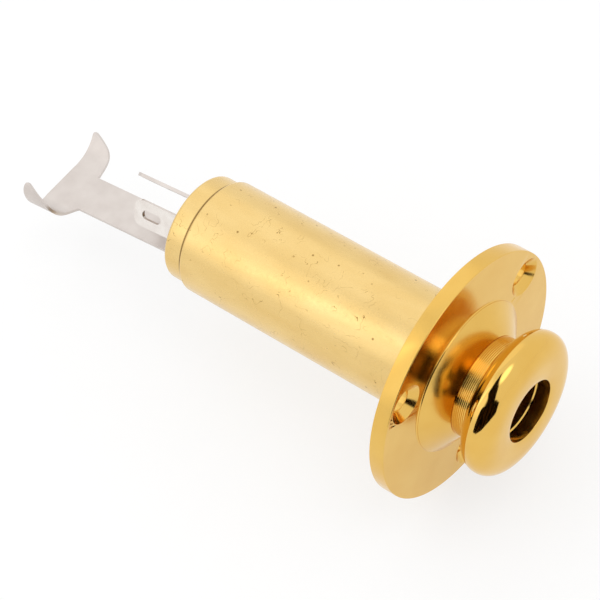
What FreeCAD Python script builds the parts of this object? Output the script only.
"""Flange-mounted endpin jack with a strap button, for a 6.35 mm plug.

Millimetres. X runs along the jack's axis and points out of the mouth, and Z is up.
The origin is the centre of the flange's back face, which seats on the instrument.
"""
import FreeCAD
import Part
import math
import os

Vector = FreeCAD.Vector
ORIGIN = Vector(0, 0, 0)
AXIS = Vector(1, 0, 0)

# Fits between pieces
PRESS_GAP = 0.02          # pressed or crimped pieces
THREAD_GAP = 0.05         # strap button on the sleeve's nose, and the flange over it
SLIP_GAP = 0.1            # terminals in the slots of the insulators, from side to side
INSULATION_GAP = 1.0      # lugs in the notches of the sleeve terminal's washer, from side to side

# Mounting flange
FLANGE_R = 13.0
FLANGE_THICKNESS = 1.6
FLANGE_RIM_CHAMFER = 0.15
HUB_STEP = 5.1            # from the flange's rim in to the hub's edge
HUB_EDGE_HEIGHT = 0.15
HUB_HEIGHT = 1.87         # face of the plate to the seat of the strap button
BARREL_SEAT_DEPTH = 0.3   # counterbore in the back face that the barrel's end is pressed in

# Screw holes in the flange
SCREW_COUNT = 3
SCREW_MARGIN = 2.32       # from the flange's rim in to the circle of the holes
SCREW_HOLE_R = 1.25
COUNTERSINK_R = 2.0
FIRST_SCREW_ANGLE = 30.0  # from +Y towards +Z

# Strap button
NECK_R = 5.2
NECK_LENGTH = 1.72
NECK_BASE_CHAMFER = 0.1
HEAD_MAX_R = 7.45
HEAD_DEPTH = 3.7
HEAD_CREST_R = 4.82       # radius at which the head's front and back stand out most
HEAD_FULLNESS = 2.2       # 2 is an ellipse, and more is squarer
MOUTH_FULLNESS = 3.0      # the same, from the crest in to the mouth
MOUTH_R = 3.265
MOUTH_LIP = 1.4           # from the mouth's edge back to the sleeve's nose
HEAD_BANDS = 3            # straight bands that each part of the head's rounded section is cut into

# Jack sleeve
PLUG_BORE_R = 3.2
NOSE_R = 4.2
NOSE_CHAMFER = 0.2
SHOULDER_LENGTH = 3.0
SLEEVE_TAIL_GAP = 2.05    # from the ring spring's free end to the sleeve's tail

# Barrel
BARREL_R = 6.0
BARREL_WALL = 0.38
BARREL_LENGTH = 28.7
BARREL_END_ROUNDING = 0.25
LINER_WALL = 0.2

# Rear collar: a cup pressed in the barrel's end, which holds the stack of terminals
COLLAR_SHOWING = 2.3
COLLAR_WALL = 0.45
COLLAR_LIP = 0.7
COLLAR_LIP_WIDTH = 1.0
COLLAR_END_ROUNDING = 0.4

# Stack of insulators and terminals, from the front
BLOCK_THICKNESS = 2.6
BOSS_R = 1.5
LUG_THICKNESS = 0.35
WASHER_THICKNESS = 0.6
STRIP_THICKNESS = 0.3
REAR_WASHER_THICKNESS = 1.2
EYELET_R = 1.0
EYELET_BORE_R = 0.7
EYELET_HEAD_R = 1.7
EYELET_HEAD = 0.25

# Solder lugs
LUG_ROOT_R = 1.85         # ring round the boss
LUG_FACE_R = 2.4          # outer face of a lug from the axis
LUG_WIDTH = 2.8
LUG_FOLD_RADIUS = 0.3
LUG_END_ROUNDING = 0.9
TIP_LUG_REACH = 8.95      # behind the collar
RING_LUG_REACH = 6.6
SOLDER_HOLE_START = 3.1
SOLDER_HOLE_LENGTH = 2.45
SOLDER_HOLE_WIDTH = 0.95
TIP_LUG_ANGLE = 34.0
RING_LUG_ANGLE = 156.0
TERMINAL_DROOP_ANGLE = 6.2  # the terminals are bent down behind the collar

# Sleeve terminal and its cable clamp
STRIP_ANGLE = 270.0
STRIP_INSET = 1.48        # from the collar's mouth in to the strip's inner face
STRIP_WIDTH = 4.5
STRIP_FOLD_RADIUS = 0.4
STRIP_NECK = 15.4         # from the collar to the clamp's head
CLAMP_DEPTH = 4.75
CLAMP_SKEW_ANGLE = 3.8    # the clamp's rear edge lies further back on the side of the far arm
FAR_ARM_FLAT = 0.05       # from the strip's edge to the start of the arm's bend
FAR_ARM_RADIUS = 4.2      # of the inner face
FAR_ARM_REACH = 4.35      # from the strip's edge to the arm's tip, in the flat sheet
NEAR_ARM_FLAT = 0.4
NEAR_ARM_RADIUS = 2.15
NEAR_ARM_REACH = 5.2
# Cross-ribs of the arms, as shares: way from the strip's edge to the tip, and where the rib's front and
# rear ends lie in the clamp's depth behind the neck
FAR_ARM_RIBS = (
    (0, 0.29, 1), (0.15, 0.31, 1), (0.38, 0.34, 1), (0.61, 0.4, 1), (0.72, 0.48, 1),
    (0.85, 0.65, 1), (0.97, 0.85, 0.99), (1, 0.92, 0.97))
NEAR_ARM_RIBS = (
    (0, 0, 0.94), (0.1, 0.08, 0.92), (0.25, 0.14, 0.9), (0.44, 0.19, 0.9), (0.63, 0.28, 0.92),
    (0.76, 0.41, 0.94), (0.88, 0.6, 0.94), (0.97, 0.75, 0.91), (1, 0.82, 0.88))

# Contact springs
SPRING_THICKNESS = 0.3
SPRING_WIDTH = 2.4
SPRING_INSET = 1.03       # from the stack's edge in to the leaf's inner face at its root
SPRING_BEND_RADIUS = 0.55
SPRING_END_LIFT = 0.1     # how far the free end stands outside the plug's bore
SPRING_END_LENGTH = 1.8   # from the contact corner to the leaf's free end
SPRING_KNEE_LENGTH = 2.1  # from the contact corner back to the straight leaf
TIP_SPRING_ANGLE = 90.0
TIP_CONTACT_REACH = 5.95  # from the contact block to the corner of the bend that meets the plug
TIP_CONTACT_DEPTH = 0.9   # how far that corner stands inside the plug's bore
TIP_KNEE_LIFT = 0.3       # how far the knee stands outside the bore
RING_SPRING_ANGLE = 210.0
RING_CONTACT_STEP = 7.9   # from the tip's corner to the ring's
RING_CONTACT_DEPTH = 0.6
RING_KNEE_LIFT = 0.45

# Places that follow from the sizes
HUB_R = FLANGE_R - HUB_STEP
BUTTON_SEAT_X = FLANGE_THICKNESS + HUB_HEIGHT
HEAD_BACK_X = BUTTON_SEAT_X + NECK_LENGTH
HEAD_MIDDLE_X = HEAD_BACK_X + HEAD_DEPTH / 2
HEAD_CROWN = HEAD_MAX_R - HEAD_CREST_R
COLLAR_END_X = -BARREL_LENGTH - COLLAR_SHOWING
STACK_END_X = COLLAR_END_X + COLLAR_LIP
STRIP_X = STACK_END_X + REAR_WASHER_THICKNESS
REAR_SPACER_X = STRIP_X + STRIP_THICKNESS
RING_LUG_X = REAR_SPACER_X + WASHER_THICKNESS
FRONT_SPACER_X = RING_LUG_X + LUG_THICKNESS
TIP_LUG_X = FRONT_SPACER_X + WASHER_THICKNESS
BLOCK_X = TIP_LUG_X + LUG_THICKNESS
BLOCK_FRONT_X = BLOCK_X + BLOCK_THICKNESS
TIP_CORNER_X = BLOCK_FRONT_X + TIP_CONTACT_REACH
RING_CORNER_X = TIP_CORNER_X + RING_CONTACT_STEP
SLEEVE_TAIL_X = RING_CORNER_X + SPRING_END_LENGTH + SLEEVE_TAIL_GAP
BARREL_BORE_R = BARREL_R - BARREL_WALL
COLLAR_R = BARREL_BORE_R - PRESS_GAP
STACK_R = COLLAR_R - COLLAR_WALL - PRESS_GAP
COLLAR_MOUTH_R = COLLAR_R - COLLAR_LIP_WIDTH
STRIP_FACE_R = COLLAR_MOUTH_R - STRIP_INSET
SPRING_ROOT_R = STACK_R - SPRING_INSET

ROUNDING_BANDS = 2        # straight bands that a small rounding is cut into
WIDE = 100.0              # larger than the whole jack, for cutting tools


def tube(outer, inner, start, end):
    """Plain tube along the axis between two places."""
    shell = Part.makeCylinder(outer, end - start, Vector(start, 0, 0), AXIS)
    return shell.cut(Part.makeCylinder(inner, end - start, Vector(start, 0, 0), AXIS))


def outline(points):
    """Closed wire through points."""
    return Part.makePolygon(points + points[:1])


def banded(points):
    """Outline of (x, radius) points, where a third value rounds that corner off in straight bands."""
    flat = [Vector(x, r, 0) for x, r, *_ in points]
    smooth = []
    for k, (_, _, *rounding) in enumerate(points):
        corner = flat[k]
        if not rounding:
            smooth.append(corner)
            continue
        before = (flat[k - 1] - corner).normalize()
        after = (flat[(k + 1) % len(flat)] - corner).normalize()
        half = before.getAngle(after) / 2
        reach = rounding[0] / math.tan(half)
        centre = corner + (before + after).normalize() * (rounding[0] / math.sin(half))
        middle = centre + (corner - centre).normalize() * rounding[0]
        arc = Part.Arc(corner + before * reach, middle, corner + after * reach)
        smooth += arc.toShape().discretize(ROUNDING_BANDS + 1)
    return smooth


def turned(points):
    """Solid of revolution from a closed outline of (x, radius) points."""
    return Part.Face(outline(banded(points))).revolve(ORIGIN, AXIS, 360)


def strip_section(points, thickness, bend_radius):
    """Face of a folded strip: its centre line runs through (a, b) points with rounded folds."""
    path = [Vector(a, b, 0) for a, b in points]
    ways = [(q - p).normalize() for p, q in zip(path, path[1:])]
    sides = []
    for sign in (1, -1):
        offset = sign * thickness / 2
        normals = [Vector(-w.y, w.x, 0) for w in ways]
        last = path[0] + normals[0] * offset
        edges = []
        for k in range(1, len(path) - 1):
            turn = math.atan2(ways[k - 1].cross(ways[k]).z, ways[k - 1].dot(ways[k]))
            reach = bend_radius * math.tan(abs(turn) / 2)
            centre = path[k] - ways[k - 1] * reach + normals[k - 1] * math.copysign(bend_radius, turn)
            start = path[k] - ways[k - 1] * reach + normals[k - 1] * offset
            end = path[k] + ways[k] * reach + normals[k] * offset
            middle = centre + (path[k] - centre).normalize() * (start - centre).Length
            edges.append(Part.LineSegment(last, start).toShape())
            edges.append(Part.Arc(start, middle, end).toShape())
            last = end
        final = path[-1] + normals[-1] * offset
        if (final - last).Length > 1e-6:
            edges.append(Part.LineSegment(last, final).toShape())
        sides += edges
    for place, way in ((path[0], ways[0]), (path[-1], ways[-1])):
        across = Vector(-way.y, way.x, 0) * (thickness / 2)
        sides.append(Part.LineSegment(place + across, place - across).toShape())
    return Part.Face(Part.Wire(Part.__sortEdges__(sides)))


def turned_to(shape, angle):
    """The piece turned about the axis, from +Y towards +Z."""
    moved = shape.copy()
    moved.rotate(ORIGIN, AXIS, angle)
    return moved


def radial_strip(section, width):
    """Strip whose section lies in the plane of the axis and +Y, centred on that plane."""
    moved = section.copy()
    moved.translate(Vector(0, 0, -width / 2))
    return moved.extrude(Vector(0, 0, width))


def slot_prism(start, end, width, depth_from, depth_to):
    """Round-ended prism along -X from start to end, through a range of Y."""
    radius = width / 2
    length = abs(end - start)
    middle = Part.makeBox(
        length - width, depth_to - depth_from, width, Vector(end + radius, depth_from, -radius))
    for x in (start - radius, end + radius):
        middle = middle.fuse(
            Part.makeCylinder(radius, depth_to - depth_from, Vector(x, depth_from, 0), Vector(0, 1, 0)))
    return middle.removeSplitter()


def drooped(straight):
    """Bends everything behind the collar down, on a mitre plane at the stack's end."""
    pivot = Vector(STACK_END_X, 0, 0)
    hinge = Vector(0, 1, 0)
    front = Part.makeBox(WIDE, WIDE, WIDE, Vector(STACK_END_X, -WIDE / 2, -WIDE / 2))
    rear = Part.makeBox(WIDE, WIDE, WIDE, Vector(STACK_END_X - WIDE, -WIDE / 2, -WIDE / 2))
    for box in (front, rear):
        box.rotate(pivot, hinge, -TERMINAL_DROOP_ANGLE / 2)
    bent = straight.copy()
    bent.rotate(pivot, hinge, -TERMINAL_DROOP_ANGLE)
    return straight.common(front).fuse(bent.common(rear)).removeSplitter()


def mounting_flange():
    """Round plate with a low conical hub, bored for the sleeve's nose, with countersunk screw holes."""
    bore = NOSE_R + THREAD_GAP
    seat_r = BARREL_R + PRESS_GAP
    body = turned([
        (BARREL_SEAT_DEPTH, bore), (BARREL_SEAT_DEPTH, seat_r), (0, seat_r),
        (0, FLANGE_R - FLANGE_RIM_CHAMFER), (FLANGE_RIM_CHAMFER, FLANGE_R),
        (FLANGE_THICKNESS - FLANGE_RIM_CHAMFER, FLANGE_R), (FLANGE_THICKNESS, FLANGE_R - FLANGE_RIM_CHAMFER),
        (FLANGE_THICKNESS, HUB_R), (FLANGE_THICKNESS + HUB_EDGE_HEIGHT, HUB_R), (BUTTON_SEAT_X, NECK_R),
        (BUTTON_SEAT_X, bore)])
    sink = COUNTERSINK_R - SCREW_HOLE_R
    circle = FLANGE_R - SCREW_MARGIN
    for k in range(SCREW_COUNT):
        angle = math.radians(FIRST_SCREW_ANGLE + k * 360 / SCREW_COUNT)
        place = Vector(0, circle * math.cos(angle), circle * math.sin(angle))
        body = body.cut(Part.makeCylinder(SCREW_HOLE_R, FLANGE_THICKNESS, place, AXIS))
        body = body.cut(Part.makeCone(
            SCREW_HOLE_R, COUNTERSINK_R, sink, place + AXIS * (FLANGE_THICKNESS - sink), AXIS))
        body = body.cut(Part.makeCylinder(COUNTERSINK_R, HUB_HEIGHT, place + AXIS * FLANGE_THICKNESS, AXIS))
    return body


def fullness(outward, front):
    """Fullness of the head's section, which is squarer inside the crest of its front."""
    return MOUTH_FULLNESS if front and outward < 0 else HEAD_FULLNESS


def head_angle(radius, front):
    """Angle on the head's rounded section at which it has this radius, on its front or its back."""
    share = (radius - HEAD_CREST_R) / HEAD_CROWN
    cosine = math.copysign(abs(share) ** (fullness(share, front) / 2), share)
    angle = math.acos(cosine)
    return angle if front else -angle


def head_point(angle):
    """Point of the head's rounded section, a full ellipse about its crest, as (x, radius)."""
    power = 2 / fullness(math.cos(angle), math.sin(angle) > 0)
    forward = math.copysign(abs(math.sin(angle)) ** power, math.sin(angle))
    outward = math.copysign(abs(math.cos(angle)) ** power, math.cos(angle))
    return HEAD_MIDDLE_X + HEAD_DEPTH / 2 * forward, HEAD_CREST_R + HEAD_CROWN * outward


def mouth_x():
    """Place of the mouth's edge, where the head's front meets the mouth."""
    return head_point(head_angle(MOUTH_R, front=True))[0]


def strap_button():
    """Turned button: neck for the strap, rounded head, and the plug's mouth over a threaded socket."""
    turns = [head_angle(NECK_R, front=False), 0, math.pi / 2, head_angle(MOUTH_R, front=True)]
    head = [head_point(turns[0])]
    for start, end in zip(turns, turns[1:]):
        head += [head_point(start + (end - start) * (k + 1) / HEAD_BANDS) for k in range(HEAD_BANDS)]
    socket_end = mouth_x() - MOUTH_LIP + THREAD_GAP
    socket_r = NOSE_R + THREAD_GAP
    return turned(head + [
        (socket_end, MOUTH_R), (socket_end, socket_r), (BUTTON_SEAT_X, socket_r),
        (BUTTON_SEAT_X, NECK_R - NECK_BASE_CHAMFER), (BUTTON_SEAT_X + NECK_BASE_CHAMFER, NECK_R)])


def jack_sleeve():
    """Turned sleeve that guides the plug: threaded nose, shoulder behind the flange, and a thin tail."""
    nose_x = mouth_x() - MOUTH_LIP
    return turned([
        (SLEEVE_TAIL_X, PLUG_BORE_R), (SLEEVE_TAIL_X, NOSE_R), (-SHOULDER_LENGTH, NOSE_R),
        (-SHOULDER_LENGTH, COLLAR_R), (BARREL_SEAT_DEPTH, COLLAR_R), (BARREL_SEAT_DEPTH, NOSE_R),
        (nose_x - NOSE_CHAMFER, NOSE_R), (nose_x, NOSE_R - NOSE_CHAMFER),
        (nose_x, PLUG_BORE_R + NOSE_CHAMFER), (nose_x - NOSE_CHAMFER, PLUG_BORE_R)])


def barrel_shell():
    """Plain drawn tube between the flange and the rear collar, with a rounded rear edge."""
    return turned([
        (BARREL_SEAT_DEPTH, BARREL_BORE_R), (BARREL_SEAT_DEPTH, BARREL_R),
        (-BARREL_LENGTH, BARREL_R, BARREL_END_ROUNDING), (-BARREL_LENGTH, BARREL_BORE_R)])


def insulating_liner():
    """Thin tube that keeps the springs off the barrel."""
    return tube(COLLAR_R, COLLAR_R - LINER_WALL, BLOCK_FRONT_X, -SHOULDER_LENGTH)


def rear_collar():
    """Cup pressed in the barrel's end, whose lip holds the stack of terminals."""
    inner = COLLAR_R - COLLAR_WALL
    return turned([
        (BLOCK_FRONT_X, inner), (BLOCK_FRONT_X, COLLAR_R), (COLLAR_END_X, COLLAR_R, COLLAR_END_ROUNDING),
        (COLLAR_END_X, COLLAR_MOUTH_R), (STACK_END_X, COLLAR_MOUTH_R), (STACK_END_X, inner)])


def leaf(root_x, corner_x, depth, knee_lift):
    """Inner face of a contact spring as (x, radius) points: root, knee, corner and free end."""
    return [
        (root_x + PRESS_GAP, SPRING_ROOT_R), (corner_x - SPRING_KNEE_LENGTH, PLUG_BORE_R + knee_lift),
        (corner_x, PLUG_BORE_R - depth), (corner_x + SPRING_END_LENGTH, PLUG_BORE_R + SPRING_END_LIFT)]


def tip_leaf():
    """Inner face of the tip's spring, which stands in front of its terminal."""
    return leaf(BLOCK_X, TIP_CORNER_X, TIP_CONTACT_DEPTH, TIP_KNEE_LIFT)


def ring_leaf():
    """Inner face of the ring's spring, which stands in front of its terminal."""
    return leaf(FRONT_SPACER_X, RING_CORNER_X, RING_CONTACT_DEPTH, RING_KNEE_LIFT)


def spring_slot(points, angle, start, end):
    """Slot for a leaf at this angle between two places, open outwards, with a floor under the leaf."""
    (root_x, root_r), (knee_x, knee_r) = points[:2]
    slope = (knee_r - root_r) / (knee_x - root_x)
    floor = [Vector(x, root_r + slope * (x - root_x) - SLIP_GAP / 2, 0) for x in (start, end)]
    high = STACK_R + SLIP_GAP
    face = Part.Face(outline(floor + [Vector(end, high, 0), Vector(start, high, 0)]))
    return turned_to(radial_strip(face, SPRING_WIDTH + SLIP_GAP), angle)


def slot(faces, fold, width, gap, angle, start, end):
    """Slot between two places for a folded strip with these faces, low enough for the inside of its fold."""
    inner, outer = faces
    inside = fold - (outer - inner) / 2
    low = inner - inside - gap / 2
    depth = outer + gap / 2 - low
    wide = width + gap
    return turned_to(Part.makeBox(end - start, depth, wide, Vector(start, low, -wide / 2)), angle)


def lug_slot(angle, start, end, gap=SLIP_GAP):
    """Space for a solder lug at this angle between two places."""
    faces = (LUG_FACE_R - LUG_THICKNESS, LUG_FACE_R)
    return slot(faces, LUG_FOLD_RADIUS, LUG_WIDTH, gap, angle, start, end)


def strip_slot(start, end):
    """Space for the sleeve terminal's strip between two places."""
    faces = (STRIP_FACE_R, STRIP_FACE_R + STRIP_THICKNESS)
    return slot(faces, STRIP_FOLD_RADIUS, STRIP_WIDTH, SLIP_GAP, STRIP_ANGLE, start, end)


def contact_block():
    """Moulded block that carries the springs, with a boss that the terminals are threaded on."""
    block = tube(STACK_R, EYELET_R + SLIP_GAP / 2, BLOCK_X, BLOCK_FRONT_X)
    boss = tube(BOSS_R, EYELET_R + SLIP_GAP / 2, REAR_SPACER_X, BLOCK_X)
    block = block.fuse(boss).removeSplitter()
    for points, angle in ((tip_leaf(), TIP_SPRING_ANGLE), (ring_leaf(), RING_SPRING_ANGLE)):
        block = block.cut(spring_slot(points, angle, BLOCK_X, BLOCK_FRONT_X))
    return block


def front_spacer():
    """Insulating washer between the tip and ring terminals."""
    washer = tube(STACK_R, BOSS_R + SLIP_GAP / 2, FRONT_SPACER_X, TIP_LUG_X)
    washer = washer.cut(lug_slot(TIP_LUG_ANGLE, FRONT_SPACER_X, TIP_LUG_X))
    return washer.cut(spring_slot(ring_leaf(), RING_SPRING_ANGLE, FRONT_SPACER_X, TIP_LUG_X))


def rear_spacer():
    """Insulating washer between the ring terminal and the sleeve terminal."""
    washer = tube(STACK_R, BOSS_R + SLIP_GAP / 2, REAR_SPACER_X, RING_LUG_X)
    for angle in (TIP_LUG_ANGLE, RING_LUG_ANGLE):
        washer = washer.cut(lug_slot(angle, REAR_SPACER_X, RING_LUG_X))
    return washer


def rear_washer():
    """Insulating end washer, slotted for all three terminals."""
    washer = tube(STACK_R, EYELET_R + SLIP_GAP / 2, STACK_END_X, STRIP_X)
    for angle in (TIP_LUG_ANGLE, RING_LUG_ANGLE):
        washer = washer.cut(lug_slot(angle, STACK_END_X, STRIP_X))
    return washer.cut(strip_slot(STACK_END_X, STRIP_X))


def stack_eyelet():
    """Hollow rivet through the stack, flared at both ends."""
    body = tube(EYELET_R, EYELET_BORE_R, STACK_END_X, BLOCK_FRONT_X)
    body = body.fuse(tube(EYELET_HEAD_R, EYELET_BORE_R, BLOCK_FRONT_X, BLOCK_FRONT_X + EYELET_HEAD))
    body = body.fuse(tube(EYELET_HEAD_R, EYELET_BORE_R, STACK_END_X - EYELET_HEAD, STACK_END_X))
    return body.removeSplitter()


def solder_terminal(plate_x, lug_angle, reach, spring_angle):
    """Stamped terminal: ring on the boss, an arm on which its spring stands, and a folded solder lug."""
    hole = BOSS_R + SLIP_GAP / 2
    ring = tube(LUG_ROOT_R, hole, plate_x, plate_x + LUG_THICKNESS)
    arm_end = SPRING_ROOT_R + SPRING_THICKNESS + SLIP_GAP
    arm = Part.makeBox(
        LUG_THICKNESS, arm_end - hole, SPRING_WIDTH, Vector(plate_x, hole, -SPRING_WIDTH / 2))
    middle_x = plate_x + LUG_THICKNESS / 2
    middle_r = LUG_FACE_R - LUG_THICKNESS / 2
    tip_x = COLLAR_END_X - reach
    section = strip_section(
        [(middle_x, hole), (middle_x, middle_r), (tip_x, middle_r)], LUG_THICKNESS, LUG_FOLD_RADIUS)
    lug = radial_strip(section, LUG_WIDTH)
    ends = [
        edge for edge in lug.Edges
        if edge.BoundBox.XMax < tip_x + LUG_THICKNESS and edge.BoundBox.ZLength == 0]
    lug = lug.makeFillet(LUG_END_ROUNDING, ends)
    hole_start = COLLAR_END_X - SOLDER_HOLE_START
    solder_hole = slot_prism(
        hole_start, hole_start - SOLDER_HOLE_LENGTH, SOLDER_HOLE_WIDTH,
        LUG_ROOT_R, LUG_FACE_R + LUG_THICKNESS)
    lug = lug.cut(solder_hole)
    boss = Part.makeCylinder(hole, LUG_THICKNESS, Vector(plate_x, 0, 0), AXIS)
    lug = drooped(turned_to(lug, lug_angle))
    plate = ring.fuse(turned_to(arm, spring_angle))
    return plate.fuse(lug).cut(boss).removeSplitter()


def clamp_arm(flat, radius, reach, ribs):
    """One curled arm of the clamp, on the strip's +Y side, lofted through the cross-ribs of its sheet."""
    head_x = COLLAR_END_X - STRIP_NECK
    fold_y = STRIP_WIDTH / 2 + flat
    fold_z = radius - STRIP_FACE_R
    wires = []
    for share, front, rear in ribs:
        before = max(0, flat - share * reach)
        turn = max(0, share * reach - flat) / radius
        corners = []
        for face_r, depths in ((radius, (front, rear)), (radius + STRIP_THICKNESS, (rear, front))):
            y = fold_y - before + face_r * math.sin(turn)
            z = fold_z - face_r * math.cos(turn)
            corners += [Vector(head_x - depth * CLAMP_DEPTH, y, z) for depth in depths]
        wires.append(outline(corners))
    return Part.makeLoft(wires, True)


def sleeve_terminal():
    """Ground terminal: washer in the stack, long strip, and an open cable clamp at its end."""
    plate = tube(STACK_R, EYELET_R + SLIP_GAP / 2, STRIP_X, STRIP_X + STRIP_THICKNESS)
    for angle in (TIP_LUG_ANGLE, RING_LUG_ANGLE):
        plate = plate.cut(lug_slot(angle, STRIP_X, STRIP_X + STRIP_THICKNESS, INSULATION_GAP))
    middle_x = STRIP_X + STRIP_THICKNESS / 2
    middle_r = STRIP_FACE_R + STRIP_THICKNESS / 2
    end_x = COLLAR_END_X - STRIP_NECK - CLAMP_DEPTH
    section = strip_section(
        [(middle_x, EYELET_HEAD_R), (middle_x, middle_r), (end_x, middle_r)], STRIP_THICKNESS,
        STRIP_FOLD_RADIUS)
    strip = turned_to(radial_strip(section, STRIP_WIDTH), STRIP_ANGLE)
    beyond = Part.makeBox(WIDE, WIDE, WIDE, Vector(end_x - WIDE, STRIP_WIDTH / 2 - WIDE, -WIDE / 2))
    beyond.rotate(Vector(end_x, STRIP_WIDTH / 2, 0), Vector(0, 0, 1), CLAMP_SKEW_ANGLE)
    strip = strip.cut(beyond)
    near_arm = clamp_arm(NEAR_ARM_FLAT, NEAR_ARM_RADIUS, NEAR_ARM_REACH, NEAR_ARM_RIBS)
    strip = strip.fuse(near_arm.mirror(ORIGIN, Vector(0, 1, 0)))
    strip = strip.fuse(clamp_arm(FAR_ARM_FLAT, FAR_ARM_RADIUS, FAR_ARM_REACH, FAR_ARM_RIBS))
    return plate.fuse(drooped(strip.removeSplitter())).removeSplitter()


def contact_spring(points, angle):
    """Leaf spring that stands on its terminal's arm and bends in to meet the plug."""
    middle = [(x, r + SPRING_THICKNESS / 2) for x, r in points]
    section = strip_section(middle, SPRING_THICKNESS, SPRING_BEND_RADIUS)
    return turned_to(radial_strip(section, SPRING_WIDTH), angle)


def build():
    """Every piece by the name of its node."""
    return {
        "strap_button": strap_button(),
        "mounting_flange": mounting_flange(),
        "jack_sleeve": jack_sleeve(),
        "barrel_shell": barrel_shell(),
        "insulating_liner": insulating_liner(),
        "rear_collar": rear_collar(),
        "contact_block": contact_block(),
        "front_spacer": front_spacer(),
        "rear_spacer": rear_spacer(),
        "rear_washer": rear_washer(),
        "stack_eyelet": stack_eyelet(),
        "tip_terminal": solder_terminal(TIP_LUG_X, TIP_LUG_ANGLE, TIP_LUG_REACH, TIP_SPRING_ANGLE),
        "ring_terminal": solder_terminal(RING_LUG_X, RING_LUG_ANGLE, RING_LUG_REACH, RING_SPRING_ANGLE),
        "sleeve_terminal": sleeve_terminal(),
        "tip_spring": contact_spring(tip_leaf(), TIP_SPRING_ANGLE),
        "ring_spring": contact_spring(ring_leaf(), RING_SPRING_ANGLE),
    }


os.makedirs("parts", exist_ok=True)
for name, shape in build().items():
    shape.exportStep("parts/" + name + ".step")
    box = shape.BoundBox
    print(name, "solids", len(shape.Solids), "valid", shape.isValid(), "volume", round(shape.Volume, 3),
          "x", round(box.XMin, 2), round(box.XMax, 2), "y", round(box.YMin, 2), round(box.YMax, 2),
          "z", round(box.ZMin, 2), round(box.ZMax, 2))
